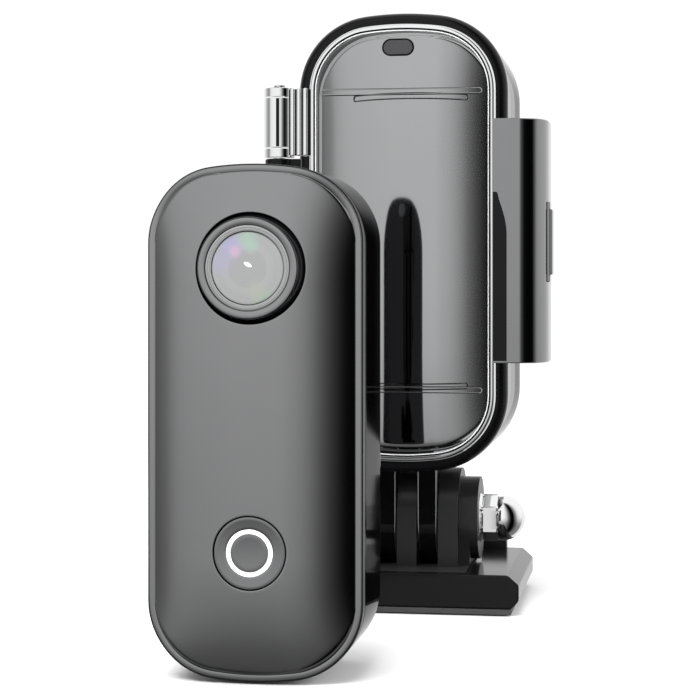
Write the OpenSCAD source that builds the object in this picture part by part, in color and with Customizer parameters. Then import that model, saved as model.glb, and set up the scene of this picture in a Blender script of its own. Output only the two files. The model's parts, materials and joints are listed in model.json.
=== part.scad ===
// Thumb action camera, shown bare and a second time inside its clear dive case on a three-prong mount.
// Row frame: X to the right, Y away from the front of the bare camera, Z up, floor at Z = 0.

/* [Camera body] */
// Width of the camera body
cam_w = 26.4; // [24:0.1:30]
// Height of the camera body
cam_h = 62.1; // [56:0.1:70]
// Depth of the body from the rim to the back
cam_d = 15; // [13:0.5:18]
// Bulge of the front panel in front of the rim
crown = 3.4; // [2:0.1:4]
// Corner radius of the outline
corner_r = 9.2; // [7:0.1:11]
// Radius of the domed top and bottom
dome_r = 40; // [30:1:80]
// Wall of the rear shell
wall = 1.6; // [1.2:0.1:2]
// Width of the flat rim round the front panel
rim_w = 0.9; // [0.6:0.1:1.5]

/* [Lens and button] */
// Height of the lens axis above the camera bottom
lens_z = 49.6; // [46:0.1:52]
// Radius of the lens ring at the front
lens_r = 5.9; // [5:0.1:6.5]
// Height of the shutter button above the camera bottom
button_z = 15.8; // [12:0.1:20]
// Radius of the shutter button
button_r = 4.4; // [3.5:0.1:5]

/* [Dive case] */
// Width of the case
case_w = 30.8; // [30:0.1:34]
// Height of the case
case_h = 67.3; // [66:0.1:72]
// Wall of the case
case_wall = 1.85; // [1.5:0.05:1.9]
// Height of the bottom of the camera in the case
cam_z = 22.6; // [22:0.1:26]

/* [Mount] */
// Height of the tilt axis
pivot_z = 12.25; // [12:0.05:13]
// Radius of the mount fingers
finger_r = 7.5; // [7:0.1:7.5]
// Thickness of one finger
finger_t = 2.95; // [2.8:0.05:3]
// Pitch of the fingers
pitch = 3.07; // [3:0.01:3.15]
// Half width of the base
base_x = 17.2; // [16:0.1:20]
// Top of the base
base_top = 5.7; // [5:0.1:6]

/* [Placing of the bare camera] */
// Sideways position
bare_x = -10.7; // [-20:0.1:0]
// Position of the front rim
bare_y = -67.05; // [-80:0.05:-60]

/* [Hidden] */
$fn = 96;
crown_r = ((cam_w / 2 - rim_w) * (cam_w / 2 - rim_w) + crown * crown) / (2 * crown);
end_r = 8;
end_run = sqrt(end_r * end_r - (end_r - crown) * (end_r - crown));
case_z = cam_z - 2.6;
case_r = corner_r + 2;
case_dome = dome_r + 4;
front_y = cam_d / 2 + crown + 3.8;
port_z = cam_z + lens_z;
plunger_z = cam_z + button_z;
hinge_x = -18.35;
hinge_y = -12;
latch_x = 18.2;
latch_y = -5;
screw_r = 2.45;

// ---- shared shapes ----

// Rounded outline with a slightly domed top and bottom, standing on the 2D origin
module outline(w, h, r, d)
{
  cx = w / 2 - r;
  reach = d - r;
  rise = sqrt(reach * reach - cx * cx);
  tx = cx * d / reach;
  lo = d - rise;
  hi = h - d + rise;
  union()
  {
    translate([-w / 2, lo]) square([w, hi - lo]);
    for (sx = [-1, 1])
    {
      translate([sx * cx, lo]) circle(r);
      translate([sx * cx, hi]) circle(r);
    }
    intersection()
    {
      translate([-tx, 0]) square([2 * tx, h]);
      translate([0, d]) circle(d);
      translate([0, h - d]) circle(d);
    }
  }
}

// Camera outline inset by t, between two depths
module slab(y0, y1, t)
{
  translate([0, y1, t]) rotate([90, 0, 0]) linear_extrude(y1 - y0)
    outline(cam_w - 2 * t, cam_h - 2 * t, corner_r - t, dome_r - t);
}

// Case outline inset by t, between two depths
module case_slab(y0, y1, t)
{
  translate([0, y1, case_z + t]) rotate([90, 0, 0]) linear_extrude(y1 - y0)
    outline(case_w - 2 * t, case_h - 2 * t, case_r - t, case_dome - t);
}

// Box between two corners
module block(a, b)
{
  translate(a) cube(b - a);
}

// Disc on an axis along Y
module disc(r, y0, y1, x, z)
{
  translate([x, y1, z]) rotate([90, 0, 0]) cylinder(r = r, h = y1 - y0);
}

// Disc on an axis along X
module wheel(r, x0, x1, y, z)
{
  translate([x0, y, z]) rotate([0, 90, 0]) cylinder(r = r, h = x1 - x0);
}

// Post on an axis along Z
module post(r, z0, z1, x, y)
{
  translate([x, y, z0]) cylinder(r = r, h = z1 - z0);
}

// Bulged panel with rounded ends, grown inwards by cut and reaching back to deep
module crown_body(cut, deep)
{
  z1 = rim_w + end_run;
  z2 = cam_h - rim_w - end_run;
  intersection()
  {
    slab(-crown - 1, deep, rim_w + cut);
    translate([0, crown_r - crown, -1]) cylinder(r = crown_r - cut, h = cam_h + 2, $fn = 192);
    translate([-cam_w / 2, 0, 0]) rotate([90, 0, 90]) linear_extrude(cam_w) union()
    {
      translate([-crown + cut, z1]) square([crown + deep + 1, z2 - z1]);
      translate([end_r - crown, z1]) circle(end_r - cut);
      translate([end_r - crown, z2]) circle(end_r - cut);
    }
  }
}

// The same bulge on the back of the body
module back_crown(cut, deep)
{
  translate([0, cam_d, 0]) mirror([0, 1, 0]) crown_body(cut, deep);
}

module front_shape()
{
  difference()
  {
    union()
    {
      slab(0, 0.5, 0.2);
      crown_body(0, 0.4);
      difference()
      {
        slab(0.4, 2.4, wall + 0.15);
        slab(0.3, 2.5, wall + 0.95);
      }
    }
    crown_body(1.2, 0.6);
    disc(6.6, -5, 3, 0, lens_z);
    disc(button_r + 0.1, -5, 3, 0, button_z);
  }
}

module rear_shell()
{
  difference()
  {
    union()
    {
      slab(0.8, cam_d, 0);
      back_crown(0, 0.4);
    }
    slab(0.7, cam_d - wall, wall);
    back_crown(wall, wall + 0.1);
    window_shape(cam_d - 0.6, cam_d + crown, 0.02);
  }
}

// Small rounded window near the top of the back
module window_shape(y0, y1, g)
{
  translate([0.87, y1, cam_h - 2.25]) rotate([90, 0, 0]) linear_extrude(y1 - y0) union()
  {
    square([2.2 + 2 * g, 2.4 + 2 * g], center = true);
    translate([-1.1, 0]) circle(1.2 + g);
    translate([1.1, 0]) circle(1.2 + g);
  }
}

module window_pane()
{
  intersection()
  {
    window_shape(cam_d - 0.6, cam_d + crown, 0);
    union()
    {
      slab(cam_d - 1, cam_d, 0);
      back_crown(0, 0.4);
    }
  }
}

module lens_ring_shape()
{
  translate([0, 0, lens_z]) rotate([90, 0, 0]) rotate_extrude()
    polygon([[4.7, 0], [7.3, 0], [7.3, 0.8], [6.55, 0.8], [6.55, 2], [lens_r + 0.1, 4.15], [lens_r, 4.25],
      [5.13, 4.25], [5.13, 3], [4.7, 3]]);
}

module button_face()
{
  intersection()
  {
    disc(button_r, -crown, -1.2, 0, button_z);
    translate([0, crown_r - crown, 0]) cylinder(r = crown_r, h = cam_h, $fn = 192);
  }
}

module light_band()
{
  difference()
  {
    disc(2.91, -crown - 0.1, -crown + 0.9, 0, button_z);
    disc(2.28, -crown - 0.2, -crown + 1, 0, button_z);
  }
}

module bare()
{
  translate([bare_x, bare_y, 0]) children();
}

module housed()
{
  translate([0, cam_d / 2, cam_z]) rotate([0, 0, 180]) children();
}

// ---- bare camera ----

module front_cover()
{
  color("#8b8c8e") bare() front_shape();
}

module rear_cover()
{
  color("#5c5d60") bare() difference()
  {
    rear_shell();
    block([-14, 3, 21], [-11, 8, 44]);
    post(1.25, 21, 44, -12.4, 8.4);
    post(0.4, 20.2, 44.8, -12.4, 8.4);
    for (dx = [-2, 0, 2])
      disc(0.5, 13, cam_d + crown, 5 + dx, 53);
  }
}

module seam_gasket()
{
  color("#111111") bare() difference()
  {
    slab(0.5, 0.8, 0);
    slab(0.4, 0.9, wall);
  }
}

module lens_ring()
{
  color("#2a2a2c") bare() lens_ring_shape();
}

module lens_trim_ring()
{
  color("#9a9b9c") bare() translate([0, 0, lens_z]) rotate([90, 0, 0]) rotate_extrude()
    polygon([[3.9, 3], [5.1, 3], [5.1, 4.12], [4.36, 4.12], [4.36, 3.3], [3.9, 3.3]]);
}

module lens_cover_glass()
{
  color("#c8ccd0") bare() disc(4.33, -4, -3.3, 0, lens_z);
}

module lens_barrel()
{
  color("#1c1c1e") bare() translate([0, 0, lens_z]) rotate([90, 0, 0]) rotate_extrude()
    polygon([[3.7, -6], [4.6, -6], [4.6, 2.7], [3.2, 2.7], [3.2, 2.2], [3.7, 2.2]]);
}

module lens_element_front()
{
  color("#9fb4c4") bare() intersection()
  {
    disc(3.65, -2.15, -0.6, 0, lens_z);
    translate([0, 4, lens_z]) sphere(r = 6);
  }
}

module lens_element_rear()
{
  color("#9fb4c4") bare() intersection()
  {
    disc(3.65, 1, 2.6, 0, lens_z);
    translate([0, -4.4, lens_z]) sphere(r = 7);
  }
}

module lens_holder()
{
  color("#232325") bare() difference()
  {
    block([-6, 1.2, lens_z - 6], [6, 7.2, lens_z + 6]);
    disc(4.65, 1, 6.1, 0, lens_z);
    disc(4.2, 6, 7.4, 0, lens_z);
  }
}

module image_sensor()
{
  color("#31405a") bare() block([-3.2, 6.4, lens_z - 2.5], [3.2, 7.2, lens_z + 2.5]);
}

module sensor_board()
{
  color("#1f5a3a") bare() intersection()
  {
    block([-9, 7.2, 43], [9, 8, 57]);
    slab(7, 8.2, 2);
  }
}

module main_board()
{
  color("#1f5a3a") bare() intersection()
  {
    block([-10.8, 2.6, 3.5], [10.8, 3.4, 42.5]);
    slab(2.5, 3.5, 2);
  }
}

module processor_chip()
{
  color("#202022") bare() block([-4, 3.4, 8], [6, 4.5, 18]);
}

module heat_spreader()
{
  color("#b87a4a") bare() block([-5, 4.5, 7], [7, 4.9, 21]);
}

module inner_frame()
{
  color("#44464a") bare() difference()
  {
    slab(5.5, 6, 1.7);
    block([-6.3, 5, lens_z - 6.3], [6.3, 7, lens_z + 6.3]);
    block([-12, 5, 22.2], [-4.4, 7, 31]);
    block([5, 5, 24], [9, 7, 38]);
  }
}

module battery()
{
  color("#3c5f8f") bare() intersection()
  {
    block([-3.9, 6.1, 5], [11, 11.9, 40]);
    slab(6, 12, 2);
  }
}

module back_magnet_lower()
{
  color("#a8a9ad") bare() disc(4.8, 12, cam_d - wall, 1, 12);
}

module back_magnet_upper()
{
  color("#a8a9ad") bare() disc(4.8, 12, cam_d - wall, 1, 34);
}

module speaker()
{
  color("#2e2e30") bare() disc(3.4, 8.6, cam_d - wall, 5, 53);
}

module microphone()
{
  color("#c0b070") bare() disc(1.6, 8, 9.2, -5.5, 50);
}

module rear_window()
{
  color("#0c0c0e") bare() window_pane();
}

module shutter_button()
{
  color("#7d7e80") bare() difference()
  {
    union()
    {
      button_face();
      disc(5.1, -1.45, -0.95, 0, button_z);
      disc(1.3, -1, 0.6, 0, button_z);
    }
    light_band();
  }
}

module button_light_ring()
{
  color("#f4f4f4") bare() intersection()
  {
    light_band();
    button_face();
  }
}

module button_switch()
{
  color("#d0d0d4") bare() union()
  {
    block([-2.2, 1.5, button_z - 2.2], [2.2, 2.6, button_z + 2.2]);
    disc(1.2, 1.1, 1.6, 0, button_z);
  }
}

module usb_port()
{
  color("#b9bbc0") bare() difference()
  {
    block([-11.4, 3.4, 22.6], [-4.6, 6.5, 30.6]);
    difference()
    {
      block([-12, 3.8, 23.1], [-5.4, 6.1, 30.1]);
      block([-10.6, 4.7, 24], [-5, 5.2, 29.2]);
    }
  }
}

module card_slot()
{
  color("#b9bbc0") bare() difference()
  {
    block([-11.4, 3.4, 31.2], [2.8, 5, 42.4]);
    block([-12, 3.8, 32], [1.6, 4.6, 41.6]);
  }
}

module port_cover()
{
  color("#5c5d60") bare() difference()
  {
    union()
    {
      block([-cam_w / 2, 3.1, 21.15], [-12.3, 8.4, 43.85]);
      block([-12.4, 4, 24], [-11.9, 6.9, 41]);
      post(0.8, 21.15, 43.85, -12.4, 8.4);
    }
    post(0.45, 21, 44, -12.4, 8.4);
  }
}

module port_cover_pin()
{
  color("#c8c9cc") bare() post(0.4, 20.2, 44.8, -12.4, 8.4);
}

// ---- the same camera inside the case ----

module housed_front_cover()
{
  color("#8b8c8e") housed() front_shape();
}

module housed_rear_cover()
{
  color("#77787b") housed() rear_shell();
}

module housed_lens_ring()
{
  color("#2a2a2c") housed() lens_ring_shape();
}

module housed_glass()
{
  color("#c8ccd0") housed() disc(5.1, -4, -3, 0, lens_z);
}

module housed_button()
{
  color("#7d7e80") housed() union()
  {
    button_face();
    disc(5.1, -1.45, -0.95, 0, button_z);
  }
}

module housed_rear_window()
{
  color("#0c0c0e") housed() window_pane();
}

// ---- dive case ----

module case_finger(x)
{
  union()
  {
    wheel(finger_r, x - finger_t / 2, x + finger_t / 2, 0, pivot_z);
    block([x - finger_t / 2, -finger_r, pivot_z], [x + finger_t / 2, finger_r, case_z + 1.2]);
  }
}

module case_front_shell()
{
  color("#aab0b4") difference()
  {
    union()
    {
      case_slab(-9.6, front_y - 0.6, 0);
      case_slab(front_y - 0.6, front_y, 0.6);
      case_finger(-pitch);
      case_finger(pitch);
      disc(2.5, front_y - 0.1, front_y + 0.8, 0, plunger_z);
      difference()
      {
        disc(5.8, front_y - 0.1, front_y + 1.8, 0, plunger_z);
        disc(4.9, front_y - 0.1, front_y + 2, 0, plunger_z);
      }
    }
    case_slab(-9.7, front_y - 1.8, case_wall);
    disc(7.2, front_y - 2, front_y + 1, 0, port_z);
    disc(1.45, front_y - 2, front_y + 1, 0, plunger_z);
    wheel(screw_r + 0.1, -10, 10, 0, pivot_z);
  }
}

module case_frame()
{
  color("#0d0d0f") difference()
  {
    union()
    {
      case_slab(-13, -9.6, 0);
      post(2.1, 41.35, 66.05, hinge_x, hinge_y);
      block([hinge_x, -12.9, 41.35], [-15, -10.4, 66.05]);
      post(1.6, 41.4, 66.3, latch_x, latch_y);
      block([15, -10.6, 41.4], [16.4, -9.6, 66.3]);
      block([15.45, -10.6, 41.4], [16.4, latch_y + 1.2, 66.3]);
      block([15.45, latch_y - 0.9, 41.4], [latch_x, latch_y + 0.9, 66.3]);
    }
    case_slab(-13.1, -10.9, 1);
    case_slab(-11, -9.5, case_wall);
    post(0.8, 41, 67, hinge_x, hinge_y);
    post(0.8, 41, 67, latch_x, latch_y);
  }
}

module door_knuckle(z0, z1)
{
  union()
  {
    post(2.25, z0 + 1.6, z1 - 1.6, hinge_x, hinge_y);
    post(1.95, z0 + 1.4, z1 - 1.4, hinge_x, hinge_y);
    post(2.25, z0, z0 + 1.4, hinge_x, hinge_y);
    post(2.25, z1 - 1.4, z1, hinge_x, hinge_y);
    block([hinge_x, -14.2, z0 + 1.6], [-13.4, -13.15, z1 - 1.6]);
  }
}

module case_door()
{
  color("#c4cacd") difference()
  {
    union()
    {
      case_slab(-13.5, -11.3, 1.2);
      door_knuckle(66.2, 76.9);
      door_knuckle(30.5, 41.2);
      for (z = [32.25, 75.65])
      {
        block([-11.4, -13.9, z - 0.42], [11.4, -13.4, z + 0.42]);
        disc(0.42, -13.9, -13.4, -11.4, z);
        disc(0.42, -13.9, -13.4, 11.4, z);
      }
    }
    block([13.25, -14, 36], [16, -11, 71.7]);
    post(0.86, 30, 78, hinge_x, hinge_y);
  }
}

module door_seal()
{
  color("#1a1a1c") difference()
  {
    case_slab(-11.3, -10.9, 1.25);
    case_slab(-11.4, -10.8, case_wall);
  }
}

module cradle_pad()
{
  color("#1a1a1c") difference()
  {
    intersection()
    {
      block([-4, -7, case_z], [4, 7, cam_z + 1]);
      case_slab(-7, 7, case_wall);
    }
    translate([0, 0, cam_z]) slab(-8, 8, 0);
  }
}

module hinge_pin()
{
  color("#d8d9dc") post(0.8, 30.5, 76.9, hinge_x, hinge_y);
}

module port_ring()
{
  color("#151517") difference()
  {
    disc(9.4, front_y, front_y + 2.4, 0, port_z);
    disc(7.2, front_y - 1, front_y + 3, 0, port_z);
    disc(7.75, front_y + 1, front_y + 3, 0, port_z);
  }
}

module port_glass()
{
  color("#d4dde2") disc(7.7, front_y + 1, front_y + 2, 0, port_z);
}

module shutter_plunger()
{
  color("#b0b2b5") difference()
  {
    union()
    {
      disc(4.6, front_y + 1.2, front_y + 3.3, 0, plunger_z);
      disc(1.4, front_y - 2.6, front_y + 3, 0, plunger_z);
    }
    difference()
    {
      disc(4, front_y + 1.1, front_y + 2.1, 0, plunger_z);
      disc(1.4, front_y + 1, front_y + 2.2, 0, plunger_z);
    }
    difference()
    {
      disc(2, front_y - 2.4, front_y - 2, 0, plunger_z);
      disc(1.1, front_y - 2.5, front_y - 1.9, 0, plunger_z);
    }
  }
}

module plunger_spring()
{
  color("#c9cacd") difference()
  {
    disc(3.7, front_y, front_y + 0.95, 0, plunger_z);
    disc(2.7, front_y - 0.1, front_y + 1.1, 0, plunger_z);
  }
}

module plunger_clip()
{
  color("#c9cacd") difference()
  {
    disc(2.2, front_y - 2.4, front_y - 2, 0, plunger_z);
    disc(1.1, front_y - 2.5, front_y - 1.9, 0, plunger_z);
  }
}

module latch_lever()
{
  color("#4a4b4e") difference()
  {
    union()
    {
      block([13.45, -15.2, 36.25], [17.7, -13.8, 71.45]);
      difference()
      {
        post(3.5, 36.25, 71.45, 17.7, -11.7);
        post(2.3, 36, 72, 17.7, -11.7);
        block([13, -11.7, 36], [22, -8, 72]);
        block([13, -15.3, 36], [17.7, -8, 72]);
      }
      block([20, -11.7, 36.25], [21.2, -4.2, 71.45]);
      for (z = [36.25, 66.45])
      {
        post(1.6, z, z + 5, latch_x, latch_y);
        block([latch_x, -6, z], [20.2, -4.2, z + 5]);
      }
    }
    post(0.86, 36, 72, latch_x, latch_y);
    block([20.75, -10.6, 43.2], [22, -6.4, 65]);
  }
}

module latch_pin()
{
  color("#d8d9dc") post(0.8, 36.4, 71.3, latch_x, latch_y);
}

module latch_lock()
{
  color("#6a6b6e") union()
  {
    block([20.75, -10.5, 47.9], [21.4, -6.5, 59.6]);
    block([21.4, -10.2, 49], [21.75, -6.8, 58.5]);
  }
}

// ---- mount ----

module adhesive_pad()
{
  color("#2b2b2d") block([-16.1, -15, 0], [16.1, 16, 0.8]);
}

module base_profile()
{
  polygon([[-16.1, 0.8], [16.1, 0.8], [base_x, 2], [base_x, 4.3], [15.6, base_top], [-15.6, base_top],
    [-base_x, 4.3], [-base_x, 2]]);
}

module mount_base()
{
  color("#131315") difference()
  {
    translate([0, 16, 0]) rotate([90, 0, 0]) linear_extrude(31) base_profile();
    block([-11, -13, 2], [11, 17, 3.9]);
    block([-9.4, -13, 3.8], [9.4, 17, 6]);
  }
}

module buckle_finger(x, r, t)
{
  union()
  {
    wheel(r, x - t / 2, x + t / 2, 0, pivot_z);
    block([x - t / 2, -r, 4], [x + t / 2, r, pivot_z]);
  }
}

module buckle()
{
  color("#17171a") difference()
  {
    union()
    {
      block([-10.85, -12.9, 2.1], [10.85, 17, 3.8]);
      block([-9.25, -12.9, 3.7], [9.25, 17, base_top]);
      for (s = [-1, 1])
        translate([s * 11, 0, 0]) block([-2, 16.2, 2.1], [2, 18.4, 8.2]);
      block([-9.25, 16.2, 2.1], [9.25, 18.4, 4.6]);
      buckle_finger(-2 * pitch, finger_r, finger_t);
      buckle_finger(0, finger_r, finger_t);
      buckle_finger(2 * pitch, finger_r, finger_t);
      wheel(6.2, 2 * pitch, 10.4, 0, pivot_z);
      block([2 * pitch, -5.6, 5.6], [9.2, 5.6, pivot_z]);
    }
    for (s = [-1, 1])
      wheel(finger_r + 0.15, s * pitch - 1.6, s * pitch + 1.6, 0, pivot_z);
    wheel(screw_r + 0.1, -12, 12, 0, pivot_z);
    wheel(3.75, 9.5, 12, 0, pivot_z);
  }
}

module acorn_nut()
{
  color("#d9dadd") difference()
  {
    union()
    {
      wheel(3.7, 9.5, 10.9, 0, pivot_z);
      translate([10.8, 0, pivot_z]) rotate([0, 90, 0]) cylinder(r = 3.55, h = 3.2, $fn = 6);
      wheel(3.05, 13.9, 14.3, 0, pivot_z);
      intersection()
      {
        translate([14.1, 0, pivot_z]) sphere(r = 3.05);
        wheel(3.2, 14.1, 18, 0, pivot_z);
      }
    }
    wheel(screw_r + 0.05, 9, 15, 0, pivot_z);
  }
}

module thumb_screw()
{
  color("#c4c5c8") wheel(screw_r, -19, 14.6, 0, pivot_z);
}

module thumb_knob()
{
  color("#1b1b1e") difference()
  {
    union()
    {
      wheel(3.6, -11.4, -7.9, 0, pivot_z);
      wheel(6.2, -20.4, -11.2, 0, pivot_z);
    }
    for (a = [0:60:300])
      translate([-20.5, 7 * cos(a), pivot_z + 7 * sin(a)]) rotate([0, 90, 0]) cylinder(r = 2.2, h = 9.6);
    wheel(screw_r, -19, 0, 0, pivot_z);
  }
}

front_cover();
rear_cover();
seam_gasket();
lens_ring();
lens_trim_ring();
lens_cover_glass();
lens_barrel();
lens_element_front();
lens_element_rear();
lens_holder();
image_sensor();
sensor_board();
main_board();
processor_chip();
heat_spreader();
inner_frame();
battery();
back_magnet_lower();
back_magnet_upper();
speaker();
microphone();
rear_window();
shutter_button();
button_light_ring();
button_switch();
usb_port();
card_slot();
port_cover();
port_cover_pin();
housed_front_cover();
housed_rear_cover();
housed_lens_ring();
housed_glass();
housed_button();
housed_rear_window();
case_front_shell();
case_frame();
case_door();
door_seal();
cradle_pad();
hinge_pin();
port_ring();
port_glass();
shutter_plunger();
plunger_spring();
plunger_clip();
latch_lever();
latch_pin();
latch_lock();
adhesive_pad();
mount_base();
buckle();
acorn_nut();
thumb_screw();
thumb_knob();
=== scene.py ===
import json
import math

import bmesh
import bpy
from mathutils import Matrix, Vector
from mathutils.geometry import delaunay_2d_cdt


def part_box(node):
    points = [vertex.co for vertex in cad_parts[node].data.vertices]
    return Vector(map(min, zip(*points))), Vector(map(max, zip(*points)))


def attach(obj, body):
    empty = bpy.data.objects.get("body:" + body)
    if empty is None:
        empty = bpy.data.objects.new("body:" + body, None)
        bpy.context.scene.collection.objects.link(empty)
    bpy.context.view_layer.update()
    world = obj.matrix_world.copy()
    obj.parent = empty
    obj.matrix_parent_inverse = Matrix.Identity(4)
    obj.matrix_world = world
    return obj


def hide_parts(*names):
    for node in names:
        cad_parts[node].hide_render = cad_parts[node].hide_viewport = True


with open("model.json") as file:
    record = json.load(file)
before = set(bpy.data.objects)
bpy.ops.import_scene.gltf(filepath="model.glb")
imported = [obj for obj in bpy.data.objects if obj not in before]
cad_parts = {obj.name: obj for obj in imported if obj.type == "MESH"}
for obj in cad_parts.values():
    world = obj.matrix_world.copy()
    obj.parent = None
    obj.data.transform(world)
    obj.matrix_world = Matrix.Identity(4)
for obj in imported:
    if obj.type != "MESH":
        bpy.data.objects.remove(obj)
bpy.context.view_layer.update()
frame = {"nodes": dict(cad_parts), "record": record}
MM = 0.001

# ---- sizes in millimetres, in the row frame unless a comment says otherwise ----

cover_low, cover_high = (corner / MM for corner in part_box("rear_cover"))
CAM_W = cover_high.x - cover_low.x
CAM_H = cover_high.z - cover_low.z
CAM_D = 15.0
RIM = 0.9
BACK_RIM = 0.35
RIM_RISE_TOP = 2.0
RIM_RISE_LOW = 0.9
CROWN = 3.4
CROWN_R = ((CAM_W / 2 - RIM) ** 2 + CROWN**2) / (2 * CROWN)
BACK_R = ((CAM_W / 2 - BACK_RIM) ** 2 + CROWN**2) / (2 * CROWN)
CORNER_R = 9.2
DOME_R = 40.0
LENS_Z = 49.6
LENS_HOLE = 6.62
HOLE_EDGE = 0.14
BUTTON_Z = 15.8
BUTTON_R = 4.28
BUTTON_GAP = 0.14
BUTTON_DISH = 0.3
LIGHT_IN = 2.3
LIGHT_OUT = 2.82
# Slot of the back window: centre x and z, end radius, half the straight length
WINDOW = (0.87, CAM_H - 2.25, 1.22, 1.1)
# The rear cover starts this far behind the plane of the front rim
REAR_START = 0.8

CASE_W = 30.8
CASE_H = 67.3
CASE_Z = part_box("case_frame")[0].z / MM
CASE_R = 11.2
CASE_DOME = 44.0
CASE_WALL = 1.85
DOOR_BACK = -13.5
FRAME_BACK = -13.0
FRAME_FRONT = -9.6
SHELL_FRONT = 14.7
SHELL_EDGE = 1.6
PORT_R = 7.3
CAMERA_LIFT = 2.6
HINGE_X, HINGE_Y, KNUCKLE_R = -18.35, -12.0, 2.25
LATCH_X, LATCH_Y = 18.2, -5.0

EYE = (38.2, -302.4, 48.2)
EYE_TURN = 9
EYE_LENS = 102.857

PIVOT_Z = 12.25
FINGER_R = 7.5
FINGER_T = 2.95
FINGER_PITCH = 3.07

# Local camera millimetres to row millimetres, for the bare camera and the one in the case
BARE = Matrix.Translation(((cover_low.x + cover_high.x) / 2, cover_low.y - REAR_START, 0))
HOUSED = Matrix.Translation((0, CAM_D / 2, CASE_Z + CAMERA_LIFT)) @ Matrix.Rotation(math.pi, 4, "Z")


# ---- camera and view ----


def make_camera():
    """Eye level with the upper part of the bare camera, a little to its right."""
    data = bpy.data.cameras.new("view")
    data.lens = EYE_LENS
    data.sensor_width = 36
    data.shift_y = -0.1
    data.clip_start = 0.01
    eye = bpy.data.objects.new("view", data)
    eye.location = Vector(EYE) * MM
    eye.rotation_euler = (math.pi / 2, 0, math.radians(EYE_TURN))
    bpy.context.scene.collection.objects.link(eye)
    bpy.context.scene.camera = eye


make_camera()


# ---- node helpers and materials ----


def shader_tree(name):
    """An empty material node tree with its output node."""
    material = bpy.data.materials.new(name)
    material.use_nodes = True
    tree = material.node_tree
    tree.nodes.clear()
    return material, tree, tree.nodes.new("ShaderNodeOutputMaterial")


def noise(tree, scale, detail=2.0):
    """Noise fixed in the part's own frame."""
    place = tree.nodes.new("ShaderNodeTexCoord")
    texture = tree.nodes.new("ShaderNodeTexNoise")
    texture.inputs["Scale"].default_value = scale
    texture.inputs["Detail"].default_value = detail
    tree.links.new(place.outputs["Object"], texture.inputs["Vector"])
    return texture.outputs["Fac"]


def spread(tree, value, low, high):
    """value from 0..1 to low..high."""
    node = tree.nodes.new("ShaderNodeMapRange")
    node.inputs["To Min"].default_value = low
    node.inputs["To Max"].default_value = high
    tree.links.new(value, node.inputs["Value"])
    return node.outputs["Result"]


def surface(name, colour, metal=0.0, rough=0.3, vary=0.15, grain=900.0, bump=0.0, coat=0.0, glow=0.0,
            specular=0.5, tone=0.05, edge=1.0):
    """Moulded or metal surface with fine changes of roughness and colour, and a grain in its height."""
    material, tree, output = shader_tree(name)
    shader = tree.nodes.new("ShaderNodeBsdfPrincipled")
    shader.inputs["Metallic"].default_value = metal
    shader.inputs["Specular IOR Level"].default_value = specular
    shader.inputs["Specular Tint"].default_value = (edge, edge, edge, 1)
    shader.inputs["Coat Weight"].default_value = coat
    shader.inputs["Coat Roughness"].default_value = 0.04
    if glow:
        shader.inputs["Emission Color"].default_value = (*colour, 1)
        shader.inputs["Emission Strength"].default_value = glow
    cloud = noise(tree, 60.0)
    tree.links.new(spread(tree, cloud, rough * (1 - vary), rough * (1 + vary)), shader.inputs["Roughness"])
    mix = tree.nodes.new("ShaderNodeMix")
    mix.data_type = "RGBA"
    mix.inputs["A"].default_value = (*[c * (1 - tone) for c in colour], 1)
    mix.inputs["B"].default_value = (*[min(1, c * (1 + tone)) for c in colour], 1)
    tree.links.new(noise(tree, 140.0, 4.0), mix.inputs["Factor"])
    tree.links.new(mix.outputs["Result"], shader.inputs["Base Color"])
    if bump:
        relief = tree.nodes.new("ShaderNodeBump")
        relief.inputs["Strength"].default_value = bump
        relief.inputs["Distance"].default_value = 0.0001
        tree.links.new(noise(tree, grain, 3.0), relief.inputs["Height"])
        tree.links.new(relief.outputs["Normal"], shader.inputs["Normal"])
    tree.links.new(shader.outputs["BSDF"], output.inputs["Surface"])
    return material


def clear_plastic(name, tint, index=1.5, shine_level=0.9):
    """Clear plastic: light goes through it, and it shines more at a flat angle."""
    material, tree, output = shader_tree(name)
    through = tree.nodes.new("ShaderNodeBsdfTransparent")
    through.inputs["Color"].default_value = (*tint, 1)
    shine = tree.nodes.new("ShaderNodeBsdfPrincipled")
    shine.inputs["Base Color"].default_value = (shine_level, shine_level, shine_level, 1)
    shine.inputs["Specular Tint"].default_value = (shine_level, shine_level, shine_level, 1)
    shine.inputs["Metallic"].default_value = 1.0
    tree.links.new(spread(tree, noise(tree, 90.0), 0.014, 0.03), shine.inputs["Roughness"])
    fresnel = tree.nodes.new("ShaderNodeFresnel")
    fresnel.inputs["IOR"].default_value = index
    mix = tree.nodes.new("ShaderNodeMixShader")
    tree.links.new(fresnel.outputs["Fac"], mix.inputs["Fac"])
    tree.links.new(through.outputs["BSDF"], mix.inputs[1])
    tree.links.new(shine.outputs["BSDF"], mix.inputs[2])
    tree.links.new(mix.outputs["Shader"], output.inputs["Surface"])
    return material


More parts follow.
